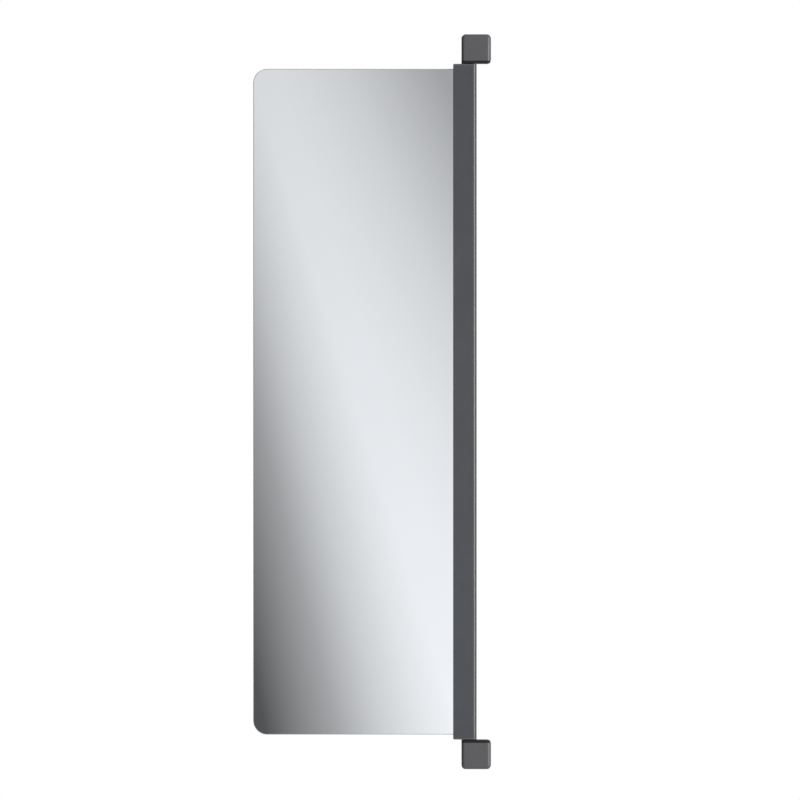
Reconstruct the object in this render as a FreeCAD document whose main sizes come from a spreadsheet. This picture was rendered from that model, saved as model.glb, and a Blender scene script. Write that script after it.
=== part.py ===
import FreeCAD, Part
import math
import os
import Sketcher
from types import SimpleNamespace

# Pull-out wardrobe mirror. X runs to the side wall at x = 0, Y runs into the wardrobe, Z is up.
# The origin is the middle of the four wall screws. All lengths are in millimetres.
sizes = {
    # mirror
    "mirror_height": 1000,
    "mirror_width": 310,
    "mirror_thickness": 4,
    "mirror_corner": 21,
    "mirror_bevel": 0.5,
    "film_thickness": 0.4,
    "film_margin": 0.5,
    # upright that holds the mirror by one edge
    "upright_width": 35,
    "upright_depth": 21,
    "upright_pivot": 11.2,
    "upright_wall": 1.8,
    "upright_round": 5.4,
    "upright_edge": 0.8,
    "upright_overhang": 5.3,
    "glass_hold": 9.5,
    "port_radius": 1.45,
    "port_side": 3.6,
    "port_offset": 7,
    "seal_wall": 0.85,
    "seal_lip": 0.2,
    "seal_fit": 0.05,
    # caps that close the upright's ends
    "cap_thickness": 2.2,
    "cap_bevel": 0.5,
    "spigot_depth": 20,
    "spigot_fit": 0.15,
    "cap_screw_length": 13,
    "cap_screw_head": 2.7,
    "cap_screw_sink": 1.3,
    # pivot
    "pin_radius": 4,
    "pin_bevel": 0.6,
    "bush_wall": 1,
    "bush_length": 16,
    "flange_step": 1,
    "flange_thickness": 1,
    "washer_thickness": 1,
    "running_fit": 0.05,
    "seat_fit": 0.02,
    "end_play": 0.1,
    "stop_radius": 1.2,
    "stop_circle": 8.4,
    "stop_reach": 1.1,
    "stop_play": 0.15,
    "swivel_range": 180,
    # heads that carry the upright
    "head_width": 44,
    "head_height": 44.2,
    "head_depth": 70,
    "head_corner": 6,
    "head_round": 5,
    "head_wall": 3,
    "head_gap": 0.3,
    "base_height": 4.3,
    "seam_gap": 0.3,
    "recess_fit": 0.4,
    "wall_gap": 0.5,
    "head_rear_gap": 2,
    "pivot_side": 11.5,
    "pivot_front": 13,
    "cover_fit": 0.2,
    "slot_fit": 0.4,
    "plate_thickness": 4,
    "boss_wall": 3,
    "boss_height": 14,
    "arm_thickness": 4,
    "arm_margin": 11,
    "rib_thickness": 4,
    "nose_gap": 22,
    "room_round": 1.2,
    "post_radius": 3,
    "post_clear": 2,
    "post_inset": 3,
    # screws
    "thread_fit": 0.05,
    "rail_screw_radius": 1.95,
    "rail_screw_head": 3.6,
    "rail_screw_head_height": 2.4,
    "rail_screw_length": 7,
    "rail_screw_first": 10,
    "rail_screw_pitch": 24,
    "cover_screw_radius": 1.45,
    "cover_screw_head": 2.8,
    "cover_screw_head_height": 2,
    "cover_screw_length": 12,
    "hole_spare": 1,
    "grub_radius": 1.95,
    "tip_bevel": 0.5,
    # ball slides
    "rail_length": 400,
    "rail_height": 35,
    "rail_depth": 12.7,
    "rail_inset": 4,
    "travel": 400,
    "outer_sheet": 1.2,
    "middle_sheet": 1,
    "inner_sheet": 1.2,
    "rail_lip": 0.8,
    "bend_inside": 0.4,
    "cage_sheet": 0.6,
    "slide_play": 0.3,
    "race_gap": 2.8,
    "ball_radius": 1.6,
    "race_fit": 0.05,
    "ball_count": 7,
    "ball_end": 6,
    "cage_margin": 19,
    "outer_race": 6,
    "inner_race": 8.8,
    "middle_front_gap": 2,
    "inner_rear_gap": 10,
    "bumper_length": 5,
    "lug_height": 10,
    "lug_length": 2,
    "wall_hole_radius": 2.25,
    "wall_hole_inset": 40,
    "access_hole_radius": 4.5,
}

doc = FreeCAD.newDocument("pull_out_mirror")
sheet = doc.addObject("Spreadsheet::Sheet", "Sizes")
for row, (alias, number) in enumerate(sizes.items(), start=1):
    sheet.set(f"A{row}", alias)
    sheet.set(f"B{row}", str(number))
    sheet.setAlias(f"B{row}", alias)
doc.recompute()


# A length that knows its value and how it follows from the sheet.
class Term:
    def __init__(self, value, text):
        self.value = value
        self.text = text

    def __add__(self, other):
        other = term(other)
        return Term(self.value + other.value, f"({self.text} + {other.text})")

    def __radd__(self, other):
        return term(other) + self

    def __sub__(self, other):
        other = term(other)
        return Term(self.value - other.value, f"({self.text} - {other.text})")

    def __rsub__(self, other):
        return term(other) - self

    def __mul__(self, other):
        other = term(other)
        return Term(self.value * other.value, f"({self.text} * {other.text})")

    def __rmul__(self, other):
        return term(other) * self

    def __truediv__(self, other):
        other = term(other)
        return Term(self.value / other.value, f"({self.text} / {other.text})")

    def __neg__(self):
        return Term(-self.value, f"(0 - {self.text})")


def term(length):
    return length if isinstance(length, Term) else Term(length, repr(length))


# Point at a distance from the origin, at an angle in degrees from the first axis.
def polar(distance, angle):
    turned = math.radians(angle.value)
    return (distance * Term(math.cos(turned), f"cos({angle.text})"),
            distance * Term(math.sin(turned), f"sin({angle.text})"))


def bind(item, name, length):
    item.setExpression(name, term(length).text)


s = SimpleNamespace(**{alias: Term(sizes[alias], f"Sizes.{alias}") for alias in sizes})


def new_body(label, x=0, y=0, z=0):
    body = doc.addObject("PartDesign::Body", label)
    body.Label = label
    body.AllowCompound = True
    for axis, place in zip("xyz", (x, y, z)):
        bind(body, f"Placement.Base.{axis}", place)
    return body


# The sketch planes look along +Z, -Y and +X.
plane_sign = {"XY_Plane": 1, "XZ_Plane": -1, "YZ_Plane": 1}


def new_sketch(body, plane, level, shift=(0, 0)):
    sketch = body.newObject("Sketcher::SketchObject", f"{body.Label}_sketch")
    support = next(item for item in body.Origin.OriginFeatures if item.Role == plane)
    sketch.AttachmentSupport = (support, "")
    sketch.MapMode = "FlatFace"
    bind(sketch, "AttachmentOffset.Base.x", shift[0])
    bind(sketch, "AttachmentOffset.Base.y", shift[1])
    bind(sketch, "AttachmentOffset.Base.z", plane_sign[plane] * term(level))
    return sketch


def fix_length(sketch, kind, length, *geometry):
    length = term(length)
    number = sketch.addConstraint(Sketcher.Constraint(kind, *geometry, length.value))
    name = f"size_{number}"
    sketch.renameConstraint(number, name)
    sketch.setExpression(f"Constraints.{name}", length.text)


def fix_point(sketch, geometry, end, across, up):
    fix_length(sketch, "DistanceX", across, -1, 1, geometry, end)
    fix_length(sketch, "DistanceY", up, -1, 1, geometry, end)


def sign(number):
    return (number > 1e-9) - (number < -1e-9)


# Closed outline through corners (x, y) or (x, y, radius). Rounded corners stand between level
# and upright lines.
def draw_outline(sketch, corners):
    rounded = []
    for index, corner in enumerate(corners):
        before = corners[index - 1]
        after = corners[(index + 1) % len(corners)]
        across, up = term(corner[0]), term(corner[1])
        radius = term(corner[2] if len(corner) > 2 else 0)
        toward = [(sign(term(other[0]).value - across.value), sign(term(other[1]).value - up.value))
                  for other in (before, after)]
        ends = [(across + radius * dx, up + radius * dy) for dx, dy in toward]
        middle = (across + radius * (toward[0][0] + toward[1][0]),
                  up + radius * (toward[0][1] + toward[1][1]))
        turn = toward[0][1] * toward[1][0] - toward[0][0] * toward[1][1]
        rounded.append((ends, middle, radius, turn))
    lines = []
    for index, (ends, middle, radius, turn) in enumerate(rounded):
        start = ends[1]
        stop = rounded[(index + 1) % len(rounded)][0][0]
        lines.append(sketch.addGeometry(Part.LineSegment(
            FreeCAD.Vector(start[0].value, start[1].value, 0),
            FreeCAD.Vector(stop[0].value, stop[1].value, 0)), False))
        fix_point(sketch, lines[-1], 1, *start)
    for index, (ends, middle, radius, turn) in enumerate(rounded):
        arriving, leaving = lines[index - 1], lines[index]
        if radius.value == 0:
            sketch.addConstraint(Sketcher.Constraint("Coincident", arriving, 2, leaving, 1))
            continue
        fix_point(sketch, arriving, 2, *ends[0])
        centre = FreeCAD.Vector(middle[0].value, middle[1].value, 0)
        angles = [math.atan2(end[1].value - centre.y, end[0].value - centre.x) for end in ends]
        joints = [(arriving, 2), (leaving, 1)]
        if turn < 0:
            angles.reverse()
            joints.reverse()
        circle = Part.Circle(centre, FreeCAD.Vector(0, 0, 1), radius.value)
        arc = sketch.addGeometry(Part.ArcOfCircle(circle, *angles), False)
        sketch.addConstraint(Sketcher.Constraint("Coincident", arc, 1, *joints[0]))
        sketch.addConstraint(Sketcher.Constraint("Coincident", arc, 2, *joints[1]))
        fix_length(sketch, "Radius", radius, arc)


def draw_circle(sketch, across, up, radius):
    centre = FreeCAD.Vector(term(across).value, term(up).value, 0)
    circle = sketch.addGeometry(
        Part.Circle(centre, FreeCAD.Vector(0, 0, 1), term(radius).value), False)
    fix_point(sketch, circle, 3, across, up)
    fix_length(sketch, "Radius", radius, circle)


def rectangle(left, right, low, high, radius=0):
    return [(left, low, radius), (right, low, radius), (right, high, radius), (left, high, radius)]


def draw(sketch, shapes):
    for shape in shapes:
        if isinstance(shape, tuple):
            draw_circle(sketch, *shape)
        else:
            draw_outline(sketch, shape)


# Adds or cuts the shapes, drawn on a plane of the body, between two levels across that plane.
def extrude(body, kind, plane, shapes, low, high):
    starts_low = (plane_sign[plane] > 0) == (kind == "Pad")
    sketch = new_sketch(body, plane, low if starts_low else high)
    draw(sketch, shapes)
    doc.recompute()
    volume = body.Shape.Volume if body.Tip else 0
    feature = body.newObject(f"PartDesign::{kind}", f"{body.Label}_{kind.lower()}")
    feature.Profile = sketch
    bind(feature, "Length", term(high) - low)
    doc.recompute()
    change = feature.Shape.Volume - volume
    if (change > 0) != (kind == "Pad") or abs(change) < 1e-3:
        raise ValueError(f"{feature.Name} changes nothing: {change:.4f}")
    return feature


def pad(body, plane, shapes, low, high):
    return extrude(body, "Pad", plane, shapes, low, high)


def cut(body, plane, shapes, low, high):
    return extrude(body, "Pocket", plane, shapes, low, high)


# Turns a closed half section into a round solid. An upright axis takes (radius, z) and a place
# (x, y), and an axis along X takes (x, radius) and a place (y, z).
def turn_upright(body, points, place=(0, 0), kind="Revolution", angle=360):
    sketch = new_sketch(body, "XZ_Plane", place[1], (place[0], 0))
    draw_outline(sketch, points)
    return turn(body, sketch, "V_Axis", kind, angle)


def turn_along_x(body, points, place, kind="Revolution"):
    sketch = new_sketch(body, "XY_Plane", place[1], (0, place[0]))
    draw_outline(sketch, points)
    return turn(body, sketch, "H_Axis", kind, 360)


def turn(body, sketch, axis, kind, angle):
    feature = body.newObject(f"PartDesign::{kind}", f"{body.Label}_{kind.lower()}")
    feature.Profile = sketch
    feature.ReferenceAxis = (sketch, [axis])
    feature.Midplane = True
    bind(feature, "Angle", angle)
    doc.recompute()
    return feature


# Names of the feature's edges that lie across one axis at one level.
def edges_at(feature, axis, level):
    level = term(level).value
    near = 1e-6
    return [f"Edge{number}" for number, edge in enumerate(feature.Shape.Edges, start=1)
            if abs(getattr(edge.BoundBox, f"{axis}Min") - level) < near
            and abs(getattr(edge.BoundBox, f"{axis}Max") - level) < near]


def edges_along_y(feature):
    near = 1e-6
    return [f"Edge{number}" for number, edge in enumerate(feature.Shape.Edges, start=1)
            if edge.BoundBox.XLength < near and edge.BoundBox.ZLength < near]


def bevel(body, feature, edges, size):
    chamfer = body.newObject("PartDesign::Chamfer", f"{body.Label}_bevel")
    chamfer.Base = (feature, edges)
    bind(chamfer, "Size", size)
    doc.recompute()
    return chamfer


def pattern(body, feature, axis, length, count):
    row_pattern = body.newObject("PartDesign::LinearPattern", f"{body.Label}_row")
    row_pattern.Originals = [feature]
    direction = next(item for item in body.Origin.OriginFeatures if item.Role == axis)
    row_pattern.Direction = (direction, [""])
    bind(row_pattern, "Length", length)
    bind(row_pattern, "Occurrences", count)
    body.Tip = row_pattern
    doc.recompute()
    return row_pattern


# Levels of the stack from the mirror's middle to the top head.
upright_half = s.mirror_height / 2 + s.upright_overhang
leaf_end = upright_half + s.cap_thickness
flange_level = leaf_end + s.flange_thickness
washer_level = flange_level + s.washer_thickness
recess_high = washer_level + s.end_play
plate_high = recess_high + s.plate_thickness
head_low = leaf_end + s.head_gap
head_high = head_low + s.head_height
seam_low = head_low + s.base_height
seam_high = seam_low + s.seam_gap
rail_level = head_high - s.rail_inset - s.rail_height / 2

# Head and pivot, seen from above.
rail_front = -s.rail_length / 2
head_right = -s.wall_gap
head_left = head_right - s.head_width
head_rear = rail_front - s.head_rear_gap
head_front = head_rear - s.head_depth
pivot_x = head_left + s.pivot_side
pivot_y = head_front + s.pivot_front
room_left = head_left + s.head_wall
room_right = head_right - s.head_wall
room_front = head_front + s.head_wall
room_rear = head_rear - s.head_wall
room_high = head_high - s.head_wall
nose = head_front + s.nose_gap
post_wall = s.post_radius + s.post_clear
post_end = s.post_radius + s.post_inset
posts = [(room_right - post_wall, room_front + post_end), (room_left + post_wall, room_rear - post_end)]

# Slide section: x is minus the depth from the wall, z is from the slide's middle.
cage_gap = s.slide_play
outer_cage_web = -(s.outer_sheet + cage_gap)
middle_web = outer_cage_web - s.cage_sheet - cage_gap
inner_cage_web = middle_web - s.middle_sheet - cage_gap
inner_tip = inner_cage_web - s.cage_sheet - cage_gap
outer_half = s.rail_height / 2
outer_bore = outer_half - s.outer_sheet
middle_half = outer_bore - s.race_gap
middle_bore = middle_half - s.middle_sheet
inner_half = middle_bore - s.race_gap
outer_row = (outer_bore + middle_half) / 2
inner_row = (middle_bore + inner_half) / 2
race_radius = s.ball_radius + s.race_fit

# Slide lengths, shut. The middle member runs half as far as the inner one, and each ball cage
# halfway between its two members.
rail_rear = s.rail_length / 2
bumper_face = rail_rear - s.bumper_length - s.slide_play
middle_front = rail_front + s.middle_front_gap
middle_rear = bumper_face - s.slide_play
inner_rear = rail_rear - s.inner_rear_gap
outer_hold = (rail_front, middle_rear - s.travel / 2)
inner_hold = (middle_front - s.travel / 2, inner_rear - s.travel)
outer_cage_ends = [end + s.travel / 4 for end in
                   (outer_hold[0] + s.cage_margin, outer_hold[1] - s.cage_margin)]
inner_cage_ends = [end + s.travel * 0.75 for end in
                   (inner_hold[0] + s.cage_margin, inner_hold[1] - s.cage_margin)]
wall_hole_y = rail_rear - s.wall_hole_inset


# Rolled section: a web at the back and two flanges, each with a turned lip where one is given.
def channel(back, tip, half, sheet, lip):
    toward = sign(tip.value - term(back).value)
    web = back + sheet * toward
    turned = tip - sheet * toward
    inside = s.bend_inside
    bend = inside + sheet
    if lip.value:
        points = [(back, -half, bend), (tip, -half, bend), (tip, -half + sheet + lip),
                  (turned, -half + sheet + lip), (turned, -half + sheet, inside)]
    else:
        points = [(back, -half, bend), (tip, -half), (tip, -half + sheet)]
    points += [(web, -half + sheet, inside)]
    return points + [(across, -up, *radius) for across, up, *radius in reversed(points)]


def cut_races(body, depth, row, low, high):
    for side in (-1, 1):
        cut(body, "XZ_Plane", [(-depth, row * side, race_radius)], low, high)


def make_outer_rail():
    body = new_body("top_outer_rail", z=rail_level)
    pad(body, "XZ_Plane", [channel(term(0), -s.rail_depth, outer_half, s.outer_sheet, s.rail_lip)],
        rail_front, rail_rear)
    cut_races(body, s.outer_race, outer_row, rail_front, rail_rear)
    holes = [(wall_hole_y * side, 0, s.wall_hole_radius) for side in (-1, 1)]
    cut(body, "YZ_Plane", holes, -s.outer_sheet, 0)
    lug_rear = outer_cage_ends[0] - s.travel / 4 - s.slide_play
    pad(body, "YZ_Plane",
        [rectangle(lug_rear - s.lug_length, lug_rear, -s.lug_height / 2, s.lug_height / 2)],
        middle_web + cage_gap, -s.outer_sheet)
    return body


def make_middle_rail():
    body = new_body("top_middle_rail", z=rail_level)
    tip = -s.rail_depth + s.middle_sheet / 2
    pad(body, "XZ_Plane", [channel(middle_web, tip, middle_half, s.middle_sheet, term(0))],
        middle_front, middle_rear)
    cut_races(body, s.outer_race, outer_row, middle_front, middle_rear)
    cut_races(body, s.inner_race, inner_row, middle_front, middle_rear)
    access_y = s.travel / 2 - wall_hole_y
    cut(body, "YZ_Plane", [(access_y, 0, s.access_hole_radius)],
        middle_web - s.middle_sheet, middle_web)
    lug_rear = inner_cage_ends[0] - s.travel / 4 - s.slide_play
    pad(body, "YZ_Plane",
        [rectangle(lug_rear - s.lug_length, lug_rear, -s.lug_height / 2, s.lug_height / 2)],
        inner_tip + cage_gap, middle_web - s.middle_sheet)
    return body


def rail_screw_places():
    first = nose + s.rail_screw_first
    return [first, first + s.rail_screw_pitch]


def make_inner_rail():
    body = new_body("top_inner_rail", z=rail_level)
    pad(body, "XZ_Plane", [channel(-s.rail_depth, inner_tip, inner_half, s.inner_sheet, term(0))],
        nose, inner_rear)
    cut_races(body, s.inner_race, inner_row, nose, inner_rear)
    holes = [(place, 0, s.rail_screw_radius + s.thread_fit) for place in rail_screw_places()]
    cut(body, "YZ_Plane", holes, -s.rail_depth, -s.rail_depth + s.inner_sheet)
    return body


def ball_places(ends):
    first = ends[0] + s.ball_end
    return first, ends[1] - s.ball_end - first


def make_cage(label, web, depth, row, ends, window):
    body = new_body(label, z=rail_level)
    half = row + s.cage_sheet / 2
    tip = -depth - s.ball_radius - s.cage_sheet * 2
    pad(body, "XZ_Plane", [channel(web, tip, half, s.cage_sheet, term(0))], *ends)
    first, length = ball_places(ends)
    pocket = cut(body, "XY_Plane", [(-depth, first, s.ball_radius + s.race_fit * 2)], -half, half)
    pattern(body, pocket, "Y_Axis", length, s.ball_count)
    if window:
        access_y = s.travel / 4 - wall_hole_y
        cut(body, "YZ_Plane", [(access_y, 0, s.access_hole_radius)], web - s.cage_sheet, web)
    return body


def make_balls(label, depth, row, ends):
    body = new_body(label, z=rail_level)
    first, length = ball_places(ends)
    for side in (-1, 1):
        ball = body.newObject("PartDesign::AdditiveSphere", f"{label}_ball")
        support = next(item for item in body.Origin.OriginFeatures if item.Role == "XY_Plane")
        ball.AttachmentSupport = (support, "")
        ball.MapMode = "FlatFace"
        bind(ball, "AttachmentOffset.Base.x", -depth)
        bind(ball, "AttachmentOffset.Base.y", first)
        bind(ball, "AttachmentOffset.Base.z", row * side)
        bind(ball, "Radius", s.ball_radius)
        doc.recompute()
        pattern(body, ball, "Y_Axis", length, s.ball_count)
    return body


def make_bumper():
    body = new_body("top_rail_bumper", z=rail_level)
    half = outer_bore - s.seat_fit
    low = -s.rail_depth + s.outer_sheet + s.seat_fit
    pad(body, "XZ_Plane", [rectangle(low, -s.outer_sheet, -half, half, s.bend_inside)],
        bumper_face, bumper_face + s.bumper_length)
    return body


def round_off(body, feature, edges, radius):
    rounding = body.newObject("PartDesign::Fillet", f"{body.Label}_rounding")
    rounding.Base = (feature, edges)
    bind(rounding, "Radius", radius)
    doc.recompute()
    return rounding


# Outside of the head: its base and its cover are parted from this block. Its long edge over the
# upright, on the mirror's side, stays square.
def make_head_block(body):
    block = pad(body, "XY_Plane", [rectangle(head_left, head_right, head_front, head_rear)],
                head_low, head_high)
    left_edges = edges_at(block, "X", head_left)
    square = [edge for edge in edges_at(block, "Z", head_low) if edge in left_edges]
    block = round_off(body, block, [edge for edge in edges_along_y(block) if edge not in square],
                      s.head_corner)
    ends = edges_at(block, "Y", head_front) + edges_at(block, "Y", head_rear)
    return round_off(body, block, ends, s.head_round)


def cut_across(body, low, high):
    cut(body, "XY_Plane", [rectangle(head_left, head_right, head_front, head_rear)], low, high)


def make_head_bracket():
    body = new_body("top_head_bracket")
    make_head_block(body)
    cut_across(body, seam_low, head_high)
    pad(body, "XY_Plane",
        [rectangle(room_left + s.cover_fit, room_right - s.cover_fit, room_front + s.cover_fit,
                   room_rear - s.cover_fit, s.room_round - s.cover_fit)],
        seam_low - s.cover_fit, plate_high)
    arm_left = -s.rail_depth - s.arm_thickness
    arm_front = pivot_y - s.rib_thickness / 2
    pad(body, "XY_Plane", [rectangle(arm_left, -s.rail_depth, arm_front, room_rear - s.cover_fit)],
        plate_high, rail_level + s.arm_margin)
    boss = s.pin_radius + s.boss_wall
    boss_top = plate_high + s.boss_height
    pad(body, "XY_Plane", [(pivot_x, pivot_y, boss)], plate_high, boss_top)
    pad(body, "XY_Plane",
        [rectangle(pivot_x, arm_left, arm_front, arm_front + s.rib_thickness)], plate_high, boss_top)
    pad(body, "XY_Plane",
        [rectangle(-s.rail_depth - s.cover_fit, room_right - s.cover_fit,
                   room_rear - s.rib_thickness, head_rear - s.cover_fit)],
        seam_low - s.cover_fit, rail_level - inner_half - s.slot_fit)
    recess = s.pin_radius + s.bush_wall + s.flange_step + s.recess_fit
    cut(body, "XY_Plane", [(pivot_x, pivot_y, recess)], head_low, recess_high)
    cut(body, "XY_Plane", [(pivot_x, pivot_y, s.pin_radius + s.seat_fit)], recess_high, boss_top)
    cut(body, "XY_Plane", [(pivot_x + s.stop_circle, pivot_y, s.stop_radius + s.seat_fit)],
        head_low, plate_high)
    cut(body, "XY_Plane", [(x, y, s.cover_screw_radius + s.cover_fit) for x, y in posts],
        head_low, plate_high)
    cut(body, "XY_Plane", [(x, y, s.cover_screw_head + s.cover_fit) for x, y in posts],
        head_low, head_low + s.cover_screw_head_height + s.cover_fit)
    cut(body, "YZ_Plane",
        [(place, rail_level, s.rail_screw_radius + s.cover_fit) for place in rail_screw_places()],
        arm_left, -s.rail_depth)
    cut(body, "XZ_Plane", [(pivot_x, grub_level, s.grub_radius + s.thread_fit)],
        pivot_y, pivot_y + boss)
    return body


grub_level = plate_high + s.boss_height / 2


def make_head_cover():
    body = new_body("top_head_cover")
    make_head_block(body)
    cut_across(body, head_low, seam_high)
    cut(body, "XY_Plane",
        [rectangle(room_left, room_right, room_front, room_rear, s.room_round)],
        seam_high, room_high)
    cut(body, "XZ_Plane",
        [rectangle(-s.rail_depth - s.slot_fit, room_right, seam_high,
                   rail_level + inner_half + s.slot_fit)], room_rear - s.room_round, head_rear)
    pad(body, "XY_Plane", [(x, y, s.post_radius) for x, y in posts], plate_high, room_high)
    hole_end = head_low + s.cover_screw_head_height + s.cover_screw_length + s.hole_spare
    cut(body, "XY_Plane", [(x, y, s.cover_screw_radius + s.thread_fit) for x, y in posts],
        plate_high, hole_end)
    return body


# Half section of a screw along its axis: the head first, then the shank with its bevelled tip.
def screw_profile(start, head_radius, head_height, shank_radius, length):
    neck = start + head_height
    end = neck + length
    return [(0, start), (head_radius, start), (head_radius, neck), (shank_radius, neck),
            (shank_radius, end - s.tip_bevel), (shank_radius - s.tip_bevel, end), (0, end)]


def make_rail_screws():
    body = new_body("top_rail_screws")
    start = -s.rail_depth - s.arm_thickness - s.rail_screw_head_height
    profile = screw_profile(start, s.rail_screw_head, s.rail_screw_head_height,
                            s.rail_screw_radius, s.rail_screw_length)
    for place in rail_screw_places():
        turn_along_x(body, [(along, radius) for radius, along in profile], (place, rail_level))
    return body


def make_cover_screws():
    body = new_body("top_cover_screws")
    start = head_low + s.cover_fit
    profile = screw_profile(start, s.cover_screw_head, s.cover_screw_head_height,
                            s.cover_screw_radius, s.cover_screw_length)
    for place in posts:
        turn_upright(body, profile, place)
    return body


def make_pivot_pin():
    body = new_body("top_pivot_pin", pivot_x, pivot_y)
    low = leaf_end - s.bush_length + s.pin_bevel
    high = plate_high + s.boss_height
    turn_upright(body, [(0, low), (s.pin_radius - s.pin_bevel, low),
                        (s.pin_radius, low + s.pin_bevel), (s.pin_radius, high - s.pin_bevel),
                        (s.pin_radius - s.pin_bevel, high), (0, high)])
    return body


def make_grub_screw():
    body = new_body("top_pin_grub_screw")
    pad(body, "XZ_Plane", [(pivot_x, grub_level, s.grub_radius)],
        pivot_y + s.pin_radius + s.seat_fit, pivot_y + s.pin_radius + s.boss_wall)
    socket = s.grub_radius / 2
    cut(body, "XZ_Plane",
        [rectangle(pivot_x - socket, pivot_x + socket, grub_level - socket, grub_level + socket)],
        pivot_y + s.pin_radius + s.boss_wall / 2, pivot_y + s.pin_radius + s.boss_wall)
    return body


def make_stop_pin():
    body = new_body("top_stop_pin")
    pad(body, "XY_Plane", [(pivot_x + s.stop_circle, pivot_y, s.stop_radius)],
        leaf_end - s.stop_reach, plate_high)
    return body


def make_pivot_washer():
    body = new_body("top_pivot_washer")
    outer = s.pin_radius + s.bush_wall + s.flange_step
    pad(body, "XY_Plane", [(pivot_x, pivot_y, outer), (pivot_x, pivot_y, s.pin_radius + s.running_fit)],
        flange_level + s.end_play / 2, washer_level + s.end_play / 2)
    return body


def make_pivot_bush():
    body = new_body("top_pivot_bush", pivot_x, pivot_y)
    inner = s.pin_radius + s.running_fit
    outer = s.pin_radius + s.bush_wall
    low = leaf_end - s.bush_length
    turn_upright(body, [(inner, low), (outer, low), (outer, leaf_end),
                        (outer + s.flange_step, leaf_end), (outer + s.flange_step, flange_level),
                        (inner, flange_level)])
    return body


# Section of the upright, seen from above, measured from the pivot.
upright_right = s.upright_pivot
upright_left = upright_right - s.upright_width
half_depth = s.upright_depth / 2
pack_half = (s.mirror_thickness + s.film_thickness) / 2
seal_inner = pack_half + s.seal_fit
seal_outer = seal_inner + s.seal_wall
groove_half = seal_outer + s.seal_fit
glass_right = upright_left + s.glass_hold
seal_end = glass_right + s.seal_fit + s.seal_wall
groove_end = seal_end + s.seal_fit
port_x = upright_left + s.port_side
chamber_left = port_x + s.port_radius + s.upright_wall
chamber_right = upright_right - s.upright_wall
chamber_half = half_depth - s.upright_wall
port_places = [(port_x, s.port_offset * side) for side in (-1, 1)]


def upright_outline():
    return [(upright_left, -half_depth, s.upright_edge), (upright_right, -half_depth, s.upright_round),
            (upright_right, half_depth, s.upright_round), (upright_left, half_depth, s.upright_edge)]


def make_upright():
    body = new_body("upright_profile", pivot_x, pivot_y)
    groove = [(upright_left, groove_half), (groove_end, groove_half),
              (groove_end, -groove_half), (upright_left, -groove_half)]
    nose_wall = groove_end + s.upright_wall
    nose_half = groove_half + s.upright_wall
    corner = s.upright_round - s.upright_wall
    chamber = [(chamber_left, -chamber_half), (chamber_right, -chamber_half, corner),
               (chamber_right, chamber_half, corner), (chamber_left, chamber_half),
               (chamber_left, nose_half), (nose_wall, nose_half),
               (nose_wall, -nose_half), (chamber_left, -nose_half)]
    ports = [(x, y, s.port_radius) for x, y in port_places]
    pad(body, "XY_Plane", [upright_outline() + groove, chamber] + ports, -upright_half, upright_half)
    return body


def make_end_cap():
    body = new_body("top_end_cap", pivot_x, pivot_y)
    plate = pad(body, "XY_Plane", [upright_outline()], upright_half, leaf_end)
    rim = edges_at(plate, "Z", leaf_end)
    bevel(body, plate, rim, s.cap_bevel)
    spigot_half = chamber_half - s.spigot_fit
    pad(body, "XY_Plane",
        [rectangle(groove_end + s.upright_wall + s.spigot_fit, chamber_right - s.spigot_fit,
                   -spigot_half, spigot_half, s.upright_round - s.upright_wall)],
        upright_half - s.spigot_depth, upright_half)
    cut(body, "XY_Plane", [(0, 0, s.pin_radius + s.bush_wall + s.seat_fit)],
        upright_half - s.spigot_depth, leaf_end)
    track = s.stop_radius + s.stop_play
    floor = leaf_end - s.stop_reach - s.stop_play
    turn_upright(body, rectangle(s.stop_circle - track, s.stop_circle + track, floor, leaf_end),
                 kind="Groove", angle=s.swivel_range)
    track_ends = [polar(s.stop_circle, s.swivel_range / 2 * side) for side in (-1, 1)]
    cut(body, "XY_Plane", [(x, y, track) for x, y in track_ends], floor, leaf_end)
    for place in port_places:
        turn_upright(body, cap_screw_profile(s.thread_fit, s.cap_thickness), place, kind="Groove")
    return body


# Countersunk screw in the cap, or its hole where it is made larger all round.
def cap_screw_profile(extra, depth):
    shank = s.port_radius - s.thread_fit + extra
    head = s.cap_screw_head + extra
    neck = leaf_end - s.cap_screw_sink
    low = leaf_end - depth
    return [(0, low), (shank, low), (shank, neck), (head, leaf_end), (0, leaf_end)]


def make_cap_screws():
    body = new_body("top_cap_screws", pivot_x, pivot_y)
    for place in port_places:
        turn_upright(body, cap_screw_profile(0, s.cap_screw_length), place)
    return body


def make_mirror():
    body = new_body("mirror_glass", pivot_x, pivot_y)
    left = glass_right - s.mirror_width
    half = s.mirror_height / 2
    plate = pad(body, "XZ_Plane", [[(left, -half, s.mirror_corner), (glass_right, -half),
                                    (glass_right, half), (left, half, s.mirror_corner)]],
                -pack_half, -pack_half + s.mirror_thickness)
    bevel(body, plate, edges_at(plate, "Y", -pack_half) +
          edges_at(plate, "Y", -pack_half + s.mirror_thickness), s.mirror_bevel)
    return body


def make_film():
    body = new_body("mirror_film", pivot_x, pivot_y)
    left = glass_right - s.mirror_width + s.film_margin
    right = glass_right - s.film_margin
    half = s.mirror_height / 2 - s.film_margin
    corner = s.mirror_corner - s.film_margin
    pad(body, "XZ_Plane", [[(left, -half, corner), (right, -half), (right, half), (left, half, corner)]],
        -pack_half + s.mirror_thickness, pack_half)
    return body


def make_seal():
    body = new_body("glazing_seal", pivot_x, pivot_y)
    mouth = upright_left - s.seal_lip
    inner_end = glass_right + s.seal_fit
    pad(body, "XY_Plane", [[(mouth, -seal_outer), (seal_end, -seal_outer), (seal_end, seal_outer),
                            (mouth, seal_outer), (mouth, seal_inner), (inner_end, seal_inner),
                            (inner_end, -seal_inner), (mouth, -seal_inner)]],
        -upright_half, upright_half)
    return body


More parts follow.
